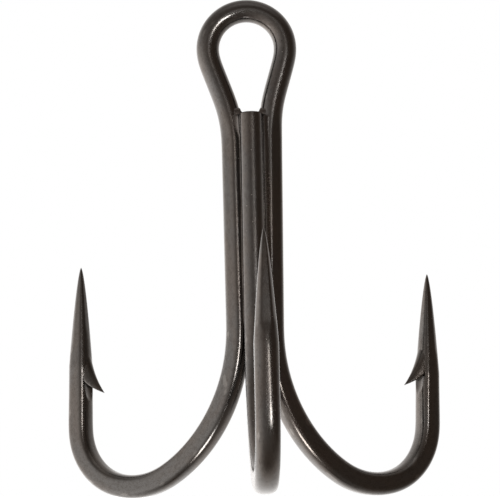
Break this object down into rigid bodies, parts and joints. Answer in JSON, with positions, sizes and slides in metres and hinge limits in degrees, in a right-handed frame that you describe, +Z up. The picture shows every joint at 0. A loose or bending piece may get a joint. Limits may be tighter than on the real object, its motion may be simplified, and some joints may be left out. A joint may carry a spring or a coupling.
{
  "type": "treble hook",
  "caption": "Treble fishing hook: barbed points set round one brazed shank under a closed teardrop eye, in dark nickel plating.",
  "frame": {"origin": "centre of the eye, where a split ring or a line holds the hook", "axes": "+Z up along the shank towards the eye, the eye lies in the X-Z plane, and the single hook points along -Y"},
  "size_m": [0.0386, 0.0341, 0.0504],
  "materials": {
    "plated_wire": "hardened steel wire under black nickel plating, semi-gloss gunmetal with fine drawing scratches and small pits",
    "plated_braze": "brazing metal under the same black nickel plating, a little duller and less even than the wire"
  },
  "bodies": {
    "root": {"double_hook": "plated_wire", "single_hook": "plated_wire", "braze_front_left": "plated_braze", "braze_front_right": "plated_braze", "braze_rear": "plated_braze"}
  },
  "joints": []
}
